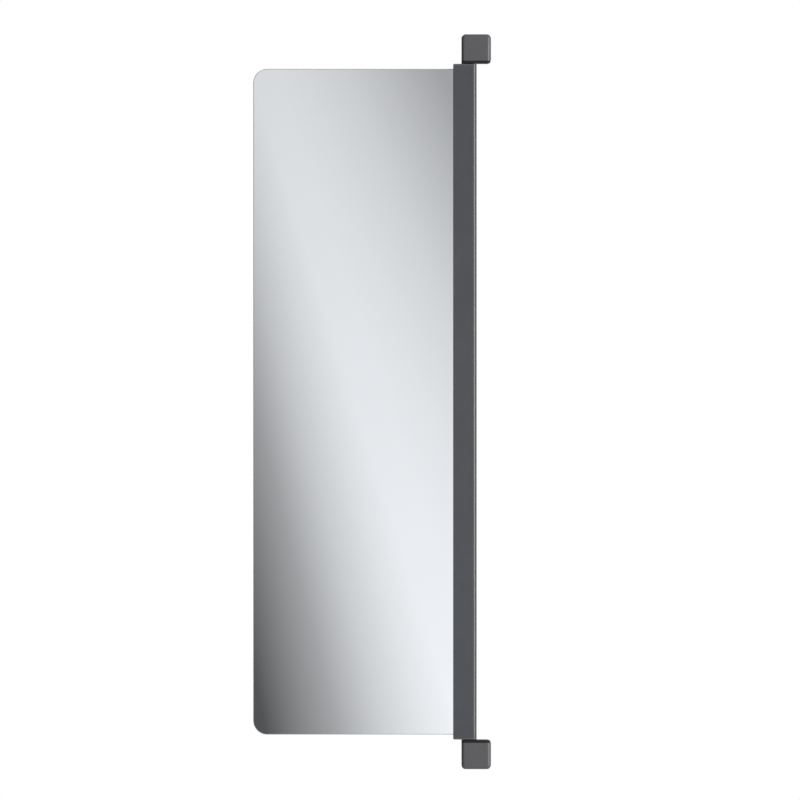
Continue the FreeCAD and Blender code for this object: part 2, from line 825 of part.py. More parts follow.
top_pieces = [
    make_outer_rail(),
    make_middle_rail(),
    make_inner_rail(),
    make_cage("top_outer_cage", outer_cage_web, s.outer_race, outer_row, outer_cage_ends, True),
    make_cage("top_inner_cage", inner_cage_web, s.inner_race, inner_row, inner_cage_ends, False),
    make_balls("top_outer_balls", s.outer_race, outer_row, outer_cage_ends),
    make_balls("top_inner_balls", s.inner_race, inner_row, inner_cage_ends),
    make_bumper(),
    make_head_bracket(),
    make_head_cover(),
    make_rail_screws(),
    make_cover_screws(),
    make_pivot_pin(),
    make_grub_screw(),
    make_stop_pin(),
    make_pivot_washer(),
    make_pivot_bush(),
    make_end_cap(),
    make_cap_screws(),
]
leaf_pieces = [make_upright(), make_mirror(), make_film(), make_seal()]

# The lower slide, head and cap are the upper ones turned over at the middle of the mirror.
bottom_pieces = []
for piece in top_pieces:
    label = piece.Label.replace("top_", "bottom_", 1)
    mirrored = doc.addObject("Part::Mirroring", label)
    mirrored.Label = label
    mirrored.Source = piece
    mirrored.Normal = (0, 0, 1)
    bottom_pieces.append(mirrored)
doc.recompute()

for item in doc.Objects:
    if "Invalid" in item.State or "Error" in item.State:
        raise ValueError(f"{item.Label} failed: {item.State}")
pieces = top_pieces + bottom_pieces + leaf_pieces
for piece in pieces:
    if piece.Shape.isNull() or not piece.Shape.isValid() or piece.Shape.Volume <= 0:
        raise ValueError(f"{piece.Label} has no sound shape")

os.makedirs("parts", exist_ok=True)
for piece in pieces:
    piece.Shape.exportStep(f"parts/{piece.Label}.step")
    print(f"{piece.Label}: {len(piece.Shape.Solids)} solids, {piece.Shape.Volume:.1f} mm3")
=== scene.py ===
import math

import bmesh
import bpy
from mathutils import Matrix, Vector


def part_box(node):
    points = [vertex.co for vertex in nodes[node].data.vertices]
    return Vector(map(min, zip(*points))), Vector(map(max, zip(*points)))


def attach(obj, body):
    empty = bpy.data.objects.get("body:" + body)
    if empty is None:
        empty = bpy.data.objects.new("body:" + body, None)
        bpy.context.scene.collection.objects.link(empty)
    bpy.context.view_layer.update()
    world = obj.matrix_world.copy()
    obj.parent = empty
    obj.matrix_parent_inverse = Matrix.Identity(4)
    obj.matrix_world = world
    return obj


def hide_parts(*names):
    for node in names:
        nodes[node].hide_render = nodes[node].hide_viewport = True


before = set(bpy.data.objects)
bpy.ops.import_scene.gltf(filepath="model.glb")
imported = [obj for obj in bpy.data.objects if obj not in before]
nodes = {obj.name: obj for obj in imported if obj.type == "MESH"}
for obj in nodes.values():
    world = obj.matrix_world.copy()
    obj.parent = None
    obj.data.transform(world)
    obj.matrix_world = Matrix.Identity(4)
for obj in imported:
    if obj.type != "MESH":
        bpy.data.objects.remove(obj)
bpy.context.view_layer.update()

glassLow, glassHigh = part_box("mirror_glass")
sides = {"top": 1, "bottom": -1}
print("frame loaded:", len(nodes), "nodes")

# The photograph's frame: square on from far away, placed by the mirror's own edges.
view = {
    "pixels": 800,
    "glassHeightPixels": 665.6,
    "glassLeftPixel": 253.3,
    "glassTopPixel": 68.9,
    "distance": 45.0,
    "clipEnd": 180.0,
    "sensor": 36.0,
}


def addCamera():
    pixel = (glassHigh.z - glassLow.z) / view["glassHeightPixels"]
    middle = view["pixels"] / 2
    x = glassLow.x + (middle - view["glassLeftPixel"]) * pixel
    z = glassHigh.z - (middle - view["glassTopPixel"]) * pixel
    data = bpy.data.cameras.new("camera")
    data.sensor_width = view["sensor"]
    data.lens = view["sensor"] * view["distance"] / (view["pixels"] * pixel)
    data.clip_end = view["clipEnd"]
    camera = bpy.data.objects.new("camera", data)
    camera.location = (x, glassLow.y - view["distance"], z)
    camera.rotation_euler = (math.pi / 2, 0, 0)
    bpy.context.scene.collection.objects.link(camera)
    bpy.context.scene.camera = camera
    return camera


camera = addCamera()
print("camera set")


# Small helpers for shader trees.
def newTree(name):
    material = bpy.data.materials.new(name)
    material.use_nodes = True
    tree = material.node_tree
    tree.nodes.clear()
    return material, tree


def addNode(tree, kind, inputs=(), **settings):
    node = tree.nodes.new(kind)
    for key, value in settings.items():
        setattr(node, key, value)
    for key, value in dict(inputs).items():
        if isinstance(value, bpy.types.NodeSocket):
            tree.links.new(value, node.inputs[key])
        else:
            node.inputs[key].default_value = value
    return node


def addMath(tree, operation, *values):
    return addNode(tree, "ShaderNodeMath", enumerate(values), operation=operation).outputs[0]


# Maps one range of a value to another, limited at both ends.
def addRange(tree, value, source, target=(0.0, 1.0), smooth=False):
    inputs = {"Value": value, "From Min": source[0], "From Max": source[1]}
    inputs.update({"To Min": target[0], "To Max": target[1]})
    kind = "SMOOTHSTEP" if smooth else "LINEAR"
    return addNode(tree, "ShaderNodeMapRange", inputs, interpolation_type=kind).outputs["Result"]


def addRamp(tree, factor, stops):
    node = addNode(tree, "ShaderNodeValToRGB", {"Fac": factor})
    elements = node.color_ramp.elements
    while len(elements) < len(stops):
        elements.new(0.5)
    for element, (place, level) in zip(elements, stops):
        element.position = place
        element.color = (level, level, level, 1)
    return node.outputs["Color"]


def addMix(tree, factor, first, second):
    mix = addNode(tree, "ShaderNodeMix", {0: factor, 6: first, 7: second}, data_type="RGBA")
    return mix.outputs[2]


def objectCoords(tree):
    return addNode(tree, "ShaderNodeTexCoord").outputs["Object"]


def splitAxes(tree, vector):
    return addNode(tree, "ShaderNodeSeparateXYZ", {0: vector}).outputs


def addNoise(tree, vector, scale, detail=2.0, roughness=0.5):
    inputs = {"Vector": vector, "Scale": scale, "Detail": detail, "Roughness": roughness}
    return addNode(tree, "ShaderNodeTexNoise", inputs).outputs["Fac"]


def addBump(tree, height, distance):
    return addNode(tree, "ShaderNodeBump", {"Height": height, "Distance": distance}).outputs["Normal"]


def shade(colour, factor):
    return (*(channel * factor for channel in colour[:3]), 1)


def finishTree(tree, inputs):
    shader = addNode(tree, "ShaderNodeBsdfPrincipled", inputs)
    addNode(tree, "ShaderNodeOutputMaterial", {"Surface": shader.outputs[0]})


# Studio: white all round for the camera and for reflections, plain soft light on the object.
studio = {
    "white": (1, 1, 1, 1),
    "ambient": 0.28,
}
floor = {
    "level": -0.75,
    "radius": 2.4,
    "segments": 64,
    "colour": (0.8, 0.8, 0.8, 1),
    "glow": (0.45, 1.0),
    "fade": (0.72, 2.352),
}
lamps = {
    "keyLamp": {"place": (2.85, -2.85, -0.1), "aim": (-0.1, -0.2, -0.01), "size": (2.1, 2.8),
                "power": 140.0},
    "backLamp": {"place": (-2.4, 3.3, 2.4), "aim": (-0.1, -0.2, 0.24), "size": (2.6, 2.0),
                 "power": 130.0},
}


def seenRay(tree):
    path = addNode(tree, "ShaderNodeLightPath")
    either = addMath(tree, "MAXIMUM", path.outputs["Is Camera Ray"], path.outputs["Is Glossy Ray"])
    return addMath(tree, "MAXIMUM", either, path.outputs["Is Transmission Ray"])


# White for rays that are seen, the ambient level for rays that only light the object.
def studioLevel(tree):
    return addMath(tree, "MULTIPLY_ADD", seenRay(tree), 1 - studio["ambient"], studio["ambient"])


def addWorld():
    world = bpy.data.worlds.new("studio")
    world.use_nodes = True
    tree = world.node_tree
    tree.nodes.clear()
    background = addNode(tree, "ShaderNodeBackground",
                         {"Color": studio["white"], "Strength": studioLevel(tree)})
    addNode(tree, "ShaderNodeOutputWorld", {"Surface": background.outputs[0]})
    bpy.context.scene.world = world


def addStageSheet(name, corners, material):
    mesh = bpy.data.meshes.new(name)
    mesh.from_pydata(corners, [], [list(range(len(corners)))])
    sheet = bpy.data.objects.new(name, mesh)
    sheet.data.materials.append(material)
    bpy.context.scene.collection.objects.link(sheet)
    return sheet


# The floor takes the object's shadow near it and fades into the white further out.
def addFloor():
    material, tree = newTree("paleFloor")
    distance = addNode(tree, "ShaderNodeVectorMath", {0: objectCoords(tree)}, operation="LENGTH")
    fade = addRange(tree, distance.outputs["Value"], floor["fade"], floor["glow"], smooth=True)
    fade = addMath(tree, "MULTIPLY", fade, seenRay(tree))
    diffuse = addNode(tree, "ShaderNodeBsdfDiffuse", {"Color": floor["colour"]})
    white = addNode(tree, "ShaderNodeEmission", {"Color": studio["white"]})
    mixed = addNode(tree, "ShaderNodeMixShader", {0: fade, 1: diffuse.outputs[0], 2: white.outputs[0]})
    addNode(tree, "ShaderNodeOutputMaterial", {"Surface": mixed.outputs[0]})
    radius, level = floor["radius"], floor["level"]
    turns = [2 * math.pi * step / floor["segments"] for step in range(floor["segments"])]
    corners = [(radius * math.cos(turn), radius * math.sin(turn), level) for turn in turns]
    addStageSheet("floor", corners, material)


def addLamp(name, place, aim, size, power):
    data = bpy.data.lights.new(name, "AREA")
    data.shape = "RECTANGLE"
    data.size, data.size_y = size
    data.energy = power
    lamp = bpy.data.objects.new(name, data)
    lamp.location = place
    lamp.rotation_euler = (Vector(aim) - lamp.location).to_track_quat("-Z", "Y").to_euler()
    lamp.visible_camera = False
    bpy.context.scene.collection.objects.link(lamp)


# Cards that the camera doesn't see, fading into the white towards their borders. The front one shows
# only in reflections, and its light fans out from a point above its left side. The flags at the sides
# show in the coats' gloss and keep the ambient light off. The mirror shows the screens in their place.
frontCard = {
    "distance": 1.2,
    "x": (-1.1, 0.85),
    "z": (-1.15, 1.15),
    "edge": (0.45, 0.45),
    "fanPoint": (-0.9187, 2.2562),
    "bands": [(0.09, 0.40), (0.196, 0.072), (0.21, 0.072), (0.25, 0.33), (0.275, 0.55), (0.297, 0.70),
              (0.316, 0.795), (0.337, 0.80), (0.364, 0.765), (0.40, 0.69), (0.48, 0.41)],
    "fall": 0.266,
    "tint": (0.98, 1.0, 1.035),
    "mirrorLoss": 0.93,
}
sideCards = {
    "leftFlag": {"x": -1.3, "y": (-3.0, 5.0), "z": (-0.78, 1.9), "edge": (1.2, 0.12), "dark": 0.10,
                 "seenIn": "coats"},
    "rightFlag": {"x": 1.4, "y": (-0.9, 5.0), "z": (-0.78, 1.9), "edge": (0.7, 0.5), "dark": 0.10,
                  "seenIn": "coats"},
    "leftScreen": {"x": -1.1, "y": (-3.4, 5.0), "z": (-0.78, 1.9), "edge": (0.9, 0.85), "dark": 0.12,
                   "seenIn": "mirror"},
    "rightScreen": {"x": 1.1, "y": (-3.4, 5.0), "z": (-0.78, 1.9), "edge": (0.9, 0.85), "dark": 0.12,
                    "seenIn": "mirror"},
}


# Grows from nothing at both ends of a range to all of it inside.
def endFade(tree, value, limits, edge):
    nearer = addMath(tree, "MINIMUM", addMath(tree, "SUBTRACT", value, limits[0]),
                     addMath(tree, "SUBTRACT", limits[1], value))
    return addRange(tree, nearer, (0.0, edge), smooth=True)


def borderFade(tree, values, ranges, edges):
    return addMath(tree, "MULTIPLY", *(endFade(tree, *part) for part in zip(values, ranges, edges)))


def sharpRay(tree):
    return addNode(tree, "ShaderNodeLightPath").outputs["Is Singular Ray"]


def addCard(name, tree, material, light, corners, seenIn):
    surface = addNode(tree, "ShaderNodeEmission", {"Color": light, "Strength": studioLevel(tree)})
    if seenIn != "both":
        clear = addNode(tree, "ShaderNodeBsdfTransparent")
        blurred, sharp = (clear, surface) if seenIn == "mirror" else (surface, clear)
        surface = addNode(tree, "ShaderNodeMixShader",
                          {0: sharpRay(tree), 1: blurred.outputs[0], 2: sharp.outputs[0]})
    addNode(tree, "ShaderNodeOutputMaterial", {"Surface": surface.outputs[0]})
    sheet = addStageSheet(name, corners, material)
    sheet.visible_camera = False
    sheet.visible_diffuse = seenIn == "coats"
    sheet.visible_shadow = False


def addFrontCard():
    card = frontCard
    spread = 1 + card["distance"] / view["distance"]
    eye = camera.location
    fanX = eye.x + (card["fanPoint"][0] - eye.x) * spread
    fanZ = eye.z + (card["fanPoint"][1] - eye.z) * spread
    material, tree = newTree("frontCard")
    axes = splitAxes(tree, objectCoords(tree))
    across, up = axes["X"], axes["Z"]
    slope = addMath(tree, "DIVIDE", addMath(tree, "SUBTRACT", across, fanX),
                    addMath(tree, "SUBTRACT", fanZ, up))
    light = addRamp(tree, slope, card["bands"])
    fall = addMath(tree, "MULTIPLY_ADD", up, -card["fall"] / spread / card["mirrorLoss"],
                   1 / card["mirrorLoss"])
    scaled = addNode(tree, "ShaderNodeVectorMath", {0: light, "Scale": fall}, operation="SCALE")
    tinted = addNode(tree, "ShaderNodeVectorMath", {0: scaled.outputs[0], 1: card["tint"]},
                     operation="MULTIPLY")
    fade = borderFade(tree, (across, up), (card["x"], card["z"]), card["edge"])
    screen = sideCards["leftScreen"]  # a sharp reflection runs on into the screens beside the card
    beside = addMath(tree, "MULTIPLY", endFade(tree, up, screen["z"], screen["edge"][1]), sharpRay(tree))
    beyond = addMix(tree, beside, studio["white"], shade(studio["white"], screen["dark"]))
    light = addMix(tree, fade, beyond, tinted.outputs[0])
    y = glassLow.y - card["distance"]
    (left, right), (low, high) = card["x"], card["z"]
    corners = [(left, y, low), (left, y, high), (right, y, high), (right, y, low)]
    addCard("frontCard", tree, material, light, corners, "both")


def addSideCard(name, x, y, z, edge, dark, seenIn):
    material, tree = newTree(name)
    axes = splitAxes(tree, objectCoords(tree))
    fade = borderFade(tree, (axes["Y"], axes["Z"]), (y, z), edge)
    light = addMix(tree, fade, studio["white"], shade(studio["white"], dark))
    corners = [(x, y[0], z[0]), (x, y[0], z[1]), (x, y[1], z[1]), (x, y[1], z[0])]
    addCard(name, tree, material, light, corners, seenIn)


addWorld()
addFloor()
addFrontCard()
for name, values in sideCards.items():
    addSideCard(name, **values)
for name, values in lamps.items():
    addLamp(name, **values)
print("studio set")


# Powder coat, moulded plastic and rubber: a fine grain that breaks up colour, gloss and surface alike.
coats = {
    "uprightCoat": {"colour": (0.0770, 0.0803, 0.0885), "rough": (0.26, 0.34), "level": 0.5,
                    "grain": 1500, "depth": 0.00003, "vary": 0.10},
    "headGrain": {"colour": (0.117, 0.1165, 0.124), "rough": (0.28, 0.38), "level": 0.45,
                  "grain": 2100, "depth": 0.00004, "vary": 0.08},
    # End caps: a plastic tone of their own, made lighter still by a painted highlight that stands in for
    # light on their edges.
    "capCoatAndPaintedHighlight": {"colour": (0.128, 0.130, 0.137), "rough": (0.38, 0.50), "level": 0.42,
                 "grain": 2100, "depth": 0.00004, "vary": 0.08},
    "bracketBlack": {"colour": (0.014, 0.014, 0.015), "rough": (0.42, 0.62), "level": 0.28,
                     "grain": 900, "depth": 0.00009, "vary": 0.20},
    "washerBlack": {"colour": (0.015, 0.015, 0.015), "rough": (0.30, 0.40), "level": 0.4,
                    "grain": 3000, "depth": 0.00001, "vary": 0.05},
    "bushBlack": {"colour": (0.022, 0.022, 0.023), "rough": (0.40, 0.50), "level": 0.4,
                  "grain": 3000, "depth": 0.00002, "vary": 0.08},
    "rubberBlack": {"colour": (0.014, 0.014, 0.014), "rough": (0.60, 0.78), "level": 0.3,
                    "grain": 1800, "depth": 0.00005, "vary": 0.15},
}
coatGrain = {
    "detail": 3.0,
    "roughness": 0.6,
    "cloudSize": 90,
    "cloudShare": 0.5,
    "contrast": (0.3, 0.7),
}


def makeCoat(name, colour, rough, level, grain, depth, vary):
    material, tree = newTree(name)
    place = objectCoords(tree)
    share = coatGrain["cloudShare"]
    fine = addNoise(tree, place, grain, coatGrain["detail"], coatGrain["roughness"])
    cloud = addNoise(tree, place, grain / coatGrain["cloudSize"])
    blend = addMath(tree, "MULTIPLY_ADD", cloud, share, addMath(tree, "MULTIPLY", fine, 1 - share))
    tint = addMix(tree, addRange(tree, blend, coatGrain["contrast"]), shade(colour, 1 - vary),
                  shade(colour, 1 + vary))
    finishTree(tree, {
        "Base Color": tint,
        "Roughness": addRange(tree, fine, coatGrain["contrast"], rough),
        "Specular IOR Level": level,
        "Normal": addBump(tree, fine, depth),
    })
    return material


# Steel: rolling or grinding lines along one axis, with paler tracks where balls run inside a slide.
steels = {
    "slideSteel": {"colour": (0.37, 0.375, 0.38), "warm": (0.39, 0.385, 0.36), "rough": (0.58, 0.78),
                   "lines": (2600, 14, 2600), "depth": 0.000012, "tracks": (-0.006, -0.0088)},
    "cageSteel": {"colour": (0.40, 0.41, 0.42), "warm": (0.42, 0.41, 0.39), "rough": (0.46, 0.62),
                  "lines": (2200, 40, 2200), "depth": 0.000012, "tracks": ()},
    "ballSteel": {"colour": (0.72, 0.72, 0.74), "warm": (0.70, 0.71, 0.73), "rough": (0.05, 0.10),
                  "lines": (900, 900, 900), "depth": 0.000002, "tracks": ()},
    "screwSteel": {"colour": (0.56, 0.56, 0.56), "warm": (0.60, 0.58, 0.50), "rough": (0.24, 0.38),
                   "lines": (1400, 1400, 1400), "depth": 0.00001, "tracks": ()},
    "pinSteel": {"colour": (0.64, 0.64, 0.66), "warm": (0.62, 0.62, 0.63), "rough": (0.12, 0.22),
                 "lines": (60, 60, 4200), "depth": 0.000006, "tracks": ()},
}
steelGrain = {
    "detail": 3.0,
    "roughness": 0.6,
    "lineContrast": (0.3, 0.7),
    "cloud": 38.0,
    "cloudContrast": (0.4, 0.65),
}
wornTrack = {
    "reach": (0.0004, 0.0008),
    "flangeGap": 0.0006,
    "pale": 1.25,
    "gloss": 0.45,
}


# Shows where balls have run: along each track, inside the slide and not on its outer flanges.
def wornMask(tree, place, tracks):
    low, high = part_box("top_outer_rail")
    axes = splitAxes(tree, place)
    worn = 0.0
    for track in tracks:
        apart = addMath(tree, "ABSOLUTE", addMath(tree, "SUBTRACT", axes["X"], track))
        band = addRange(tree, apart, wornTrack["reach"], (1.0, 0.0), smooth=True)
        worn = addMath(tree, "MAXIMUM", worn, band)
    height = addMath(tree, "SUBTRACT", addMath(tree, "ABSOLUTE", axes["Z"]), (low.z + high.z) / 2)
    inside = addMath(tree, "LESS_THAN", addMath(tree, "ABSOLUTE", height),
                     (high.z - low.z) / 2 - wornTrack["flangeGap"])
    return addMath(tree, "MULTIPLY", worn, inside)


def makeSteel(name, colour, warm, rough, lines, depth, tracks):
    material, tree = newTree(name)
    place = objectCoords(tree)
    along = addNode(tree, "ShaderNodeMapping", {"Vector": place, "Scale": lines}).outputs["Vector"]
    streaks = addNoise(tree, along, 1.0, steelGrain["detail"], steelGrain["roughness"])
    cloud = addNoise(tree, place, steelGrain["cloud"], steelGrain["detail"])
    tint = addMix(tree, addRange(tree, cloud, steelGrain["cloudContrast"]), (*colour, 1), (*warm, 1))
    roughness = addRange(tree, streaks, steelGrain["lineContrast"], rough)
    if tracks:
        worn = wornMask(tree, place, tracks)
        tint = addMix(tree, worn, tint, shade(colour, wornTrack["pale"]))
        polish = addRange(tree, worn, (0.0, 1.0), (1.0, wornTrack["gloss"]))
        roughness = addMath(tree, "MULTIPLY", roughness, polish)
    finishTree(tree, {
        "Base Color": tint,
        "Metallic": 1.0,
        "Roughness": roughness,
        "Normal": addBump(tree, streaks, depth),
    })
    return material


# The pane's silvered faces, with a haze too faint to blur them, and its polished, faintly green edge.
paneFinish = {
    "silver": (0.93, 0.935, 0.935, 1),
    "silverFrom": (0.985, 0.998),
    "haze": 9.0,
    "hazeDetail": 4.0,
    "hazeContrast": (0.4, 0.7),
    "hazeRough": (0.0, 0.003),
    "edge": (0.26, 0.37, 0.33, 1),
    "edgePale": (0.36, 0.46, 0.42, 1),
    "edgeGrain": 240,
    "edgeDetail": 3.0,
    "edgeContrast": (0.35, 0.65),
    "edgeRough": 0.12,
}


def makePaneMaterial():
    look = paneFinish
    material, tree = newTree("silveredGlass")
    place = objectCoords(tree)
    facing = splitAxes(tree, addNode(tree, "ShaderNodeTexCoord").outputs["Normal"])["Y"]
    silvered = addRange(tree, addMath(tree, "ABSOLUTE", facing), look["silverFrom"])
    grain = addNoise(tree, place, look["edgeGrain"], look["edgeDetail"])
    edge = addMix(tree, addRange(tree, grain, look["edgeContrast"]), look["edge"], look["edgePale"])
    haze = addNoise(tree, place, look["haze"], look["hazeDetail"])
    hazeRough = addRange(tree, haze, look["hazeContrast"], look["hazeRough"])
    finishTree(tree, {
        "Base Color": addMix(tree, silvered, edge, look["silver"]),
        "Metallic": silvered,
        "Roughness": addRange(tree, silvered, (0.0, 1.0), (look["edgeRough"], hazeRough)),
    })
    return material


# Safety film: satin plastic with a net of threads under it.
filmFinish = {
    "colour": (0.46, 0.465, 0.47),
    "vary": 0.05,
    "cloud": 7.0,
    "cloudDetail": 4.0,
    "cloudContrast": (0.35, 0.65),
    "rough": (0.34, 0.46),
    "level": 0.4,
    "pitch": 0.0032,
    "threadWidth": (0.75, 1.0),
    "threadPale": 1.22,
    "ripple": 30.0,
    "rippleShare": 0.4,
    "depth": 0.00008,
}


def makeFilmMaterial():
    look = filmFinish
    material, tree = newTree("safetyFilm")
    place = objectCoords(tree)
    axes = splitAxes(tree, place)
    lines = []
    for axis in ("X", "Z"):
        turn = addMath(tree, "MULTIPLY", axes[axis], 2 * math.pi / look["pitch"])
        lines.append(addRange(tree, addMath(tree, "COSINE", turn), look["threadWidth"], smooth=True))
    threads = addMath(tree, "MAXIMUM", *lines)
    cloud = addNoise(tree, place, look["cloud"], look["cloudDetail"])
    base = addMix(tree, addRange(tree, cloud, look["cloudContrast"]),
                  shade(look["colour"], 1 - look["vary"]), shade(look["colour"], 1 + look["vary"]))
    ripple = addNoise(tree, place, look["ripple"])
    height = addMath(tree, "MULTIPLY_ADD", ripple, look["rippleShare"], threads)
    finishTree(tree, {
        "Base Color": addMix(tree, threads, base, shade(look["colour"], look["threadPale"])),
        "Roughness": addRange(tree, cloud, look["cloudContrast"], look["rough"]),
        "Specular IOR Level": look["level"],
        "Normal": addBump(tree, height, look["depth"]),
    })
    return material


materials = {name: makeCoat(name, **values) for name, values in coats.items()}
materials.update({name: makeSteel(name, **values) for name, values in steels.items()})
materials["silveredGlass"] = makePaneMaterial()
materials["safetyFilm"] = makeFilmMaterial()
nodeMaterials = {
    "outer_rail": "slideSteel",
    "middle_rail": "slideSteel",
    "inner_rail": "slideSteel",
    "outer_cage": "cageSteel",
    "inner_cage": "cageSteel",
    "outer_balls": "ballSteel",
    "inner_balls": "ballSteel",
    "rail_bumper": "rubberBlack",
    "head_bracket": "bracketBlack",
    "head_cover": "headGrain",
    "rail_screws": "screwSteel",
    "cover_screws": "screwSteel",
    "pivot_pin": "pinSteel",
    "pin_grub_screw": "screwSteel",
    "stop_pin": "pinSteel",
    "pivot_washer": "washerBlack",
    "pivot_bush": "bushBlack",
    # The end caps' lighter colour is partly their own plastic and partly a painted highlight.
    "end_cap": "capCoatAndPaintedHighlight",
    "cap_screws": "screwSteel",
    "upright_profile": "uprightCoat",
    "mirror_glass": "silveredGlass",
    "mirror_film": "safetyFilm",
    "glazing_seal": "rubberBlack",
}
for name, node in nodes.items():
    kind = name.removeprefix("top_").removeprefix("bottom_")
    node.data.materials.clear()
    node.data.materials.append(materials[nodeMaterials[kind]])
print("materials set:", len(materials))


# Small helpers for pieces made here.
def addPiece(name, mesh, material, body, replaced):
    mesh.materials.clear()
    mesh.materials.append(materials[material])
    piece = bpy.data.objects.new(name, mesh)
    bpy.context.scene.collection.objects.link(piece)
    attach(piece, body)
    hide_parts(*replaced)


def meshFrom(builder, name):
    mesh = bpy.data.meshes.new(name)
    builder.to_mesh(mesh)
    builder.free()
    return mesh


# Mirror pane: its rim is a flat polished band between two rounded arrises.
pane = {
    "corner": 0.021,
    "arris": 0.0008,
    "arrisSteps": 4,
    "cornerSteps": 28,
}


def paneOutline(inset):
    lowX, highX = glassLow.x + inset, glassHigh.x - inset
    lowZ, highZ = glassLow.z + inset, glassHigh.z - inset
    radius = pane["corner"] - inset
    steps = pane["cornerSteps"]
    points = [(highX, lowZ), (highX, highZ)]
    for centreZ, start in ((highZ - radius, 90), (lowZ + radius, 180)):
        for step in range(steps + 1):
            turn = math.radians(start + 90 * step / steps)
            points.append((lowX + radius + radius * math.cos(turn), centreZ + radius * math.sin(turn)))
    return points


def buildPane():
    arris, steps = pane["arris"], pane["arrisSteps"]
    turns = [math.radians(90 * step / steps) for step in range(steps + 1)]
    levels = [(arris * (1 - math.sin(turn)), glassLow.y + arris * (1 - math.cos(turn))) for turn in turns]
    levels += [(inset, glassLow.y + glassHigh.y - y) for inset, y in reversed(levels)]
    builder = bmesh.new()
    rings = [[builder.verts.new((x, y, z)) for x, z in paneOutline(inset)] for inset, y in levels]
    count = len(rings[0])
    for ring, following in zip(rings, rings[1:]):
        for index in range(count):
            after = (index + 1) % count
            face = builder.faces.new((ring[index], ring[after], following[after], following[index]))
            face.smooth = True
    builder.faces.new(rings[0])
    builder.faces.new(list(reversed(rings[-1])))
    bmesh.ops.recalc_face_normals(builder, faces=builder.faces)
    return meshFrom(builder, "mirrorPane")


addPiece("mirrorPane", buildPane(), "silveredGlass", "mirror_leaf", ["mirror_glass"])
print("mirror pane made")


# Geometry Nodes helpers: a tree with named inputs, and its result as a plain mesh.
def newGeometryTree(name, inputs):
    tree = bpy.data.node_groups.new(name, "GeometryNodeTree")
    tree.interface.new_socket("Geometry", in_out="INPUT", socket_type="NodeSocketGeometry")
    tree.interface.new_socket("Geometry", in_out="OUTPUT", socket_type="NodeSocketGeometry")
    for label, kind in inputs.items():
        tree.interface.new_socket(label, in_out="INPUT", socket_type=f"NodeSocket{kind}")
    return tree, addNode(tree, "NodeGroupInput").outputs


def endGeometryTree(tree, geometry, material):
    realized = addNode(tree, "GeometryNodeRealizeInstances", {"Geometry": geometry})
    painted = addNode(tree, "GeometryNodeSetMaterial", {"Geometry": realized.outputs[0]})
    painted.inputs["Material"].default_value = materials[material]
    addNode(tree, "NodeGroupOutput", {"Geometry": painted.outputs[0]})


def grow(name, points, tree, values):
    mesh = bpy.data.meshes.new(name)
    mesh.from_pydata(points, [], [])
    carrier = bpy.data.objects.new(name, mesh)
    bpy.context.scene.collection.objects.link(carrier)
    modifier = carrier.modifiers.new("nodes", "NODES")
    modifier.node_group = tree
    for item in tree.interface.items_tree:
        if item.in_out == "INPUT" and item.name in values:
            modifier[item.identifier] = values[item.name]
    depsgraph = bpy.context.evaluated_depsgraph_get()
    grown = bpy.data.meshes.new_from_object(carrier.evaluated_get(depsgraph), depsgraph=depsgraph)
    carrier.modifiers.remove(modifier)
    bpy.data.objects.remove(carrier)
    return grown


# Balls: each row starts at a point and runs along Y.
ballRows = {"count": 7, "radius": 0.0016, "subdivisions": 3}


def buildBallTree():
    tree, source = newGeometryTree("ballRow", {"Balls": "Int", "Step": "Float", "Radius": "Float"})
    offset = addNode(tree, "ShaderNodeCombineXYZ", {"Y": source["Step"]})
    line = addNode(tree, "GeometryNodeMeshLine", {"Count": source["Balls"], "Offset": offset.outputs[0]},
                   mode="OFFSET")
    rows = addNode(tree, "GeometryNodeInstanceOnPoints",
                   {"Points": source["Geometry"], "Instance": line.outputs[0]})
    places = addNode(tree, "GeometryNodeRealizeInstances", {"Geometry": rows.outputs[0]})
    ball = addNode(tree, "GeometryNodeMeshIcoSphere",
                   {"Radius": source["Radius"], "Subdivisions": ballRows["subdivisions"]})
    smooth = addNode(tree, "GeometryNodeSetShadeSmooth", {"Geometry": ball.outputs[0]})
    balls = addNode(tree, "GeometryNodeInstanceOnPoints",
                    {"Points": places.outputs[0], "Instance": smooth.outputs[0]})
    endGeometryTree(tree, balls.outputs[0], "ballSteel")
    return tree


def addBalls():
    tree = buildBallTree()
    radius = ballRows["radius"]
    for run in ("outer", "inner"):
        replaced = [f"{side}_{run}_balls" for side in sides]
        starts = []
        for name in replaced:
            low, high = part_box(name)
            levels = (low.z + radius, high.z - radius)
            starts += [((low.x + high.x) / 2, low.y + radius, z) for z in levels]
        step = (high.y - low.y - 2 * radius) / (ballRows["count"] - 1)
        values = {"Balls": ballRows["count"], "Step": step, "Radius": radius}
        addPiece(f"{run}Balls", grow(f"{run}Balls", starts, tree, values), "ballSteel",
                 f"{run}_cages", replaced)


addBalls()
print("balls made")


# Screws: a lathed head and shank with a cross recess, set on each seat and turned at random.
screwSizes = {
    "cap": {"head": 0.0027, "rise": 0.0013, "shank": 0.0014, "length": 0.0117, "crown": "sunk"},
    "cover": {"head": 0.0028, "rise": 0.0020, "shank": 0.00145, "length": 0.0120, "crown": "domed"},
    "rail": {"head": 0.0036, "rise": 0.0024, "shank": 0.00195, "length": 0.0070, "crown": "domed"},
}
screwShape = {
    "segments": 40,
    "sharpAngle": 32,
    "tip": 0.3,
    "crossLength": 0.62,
    "crossWidth": 0.15,
    "crossTop": 1.2,
    "crossDepth": 0.55,
    "crossTaper": 0.7,
}
# A head's outline from its middle to its rim, in shares of its radius and its rise.
screwCrowns = {
    "sunk": [(0, 1), (0.96, 1), (1, 0.93)],
    "domed": [(0, 1), (0.45, 1), (0.72, 0.90), (0.90, 0.66), (0.98, 0.34), (1, 0.08), (1, 0)],
}


def screwProfile(head, rise, shank, length, crown):
    tip = shank * screwShape["tip"]
    outline = [(head * across, rise * up) for across, up in screwCrowns[crown]]
    return outline + [(shank, 0), (shank, -length + tip), (shank - tip, -length), (0, -length)]


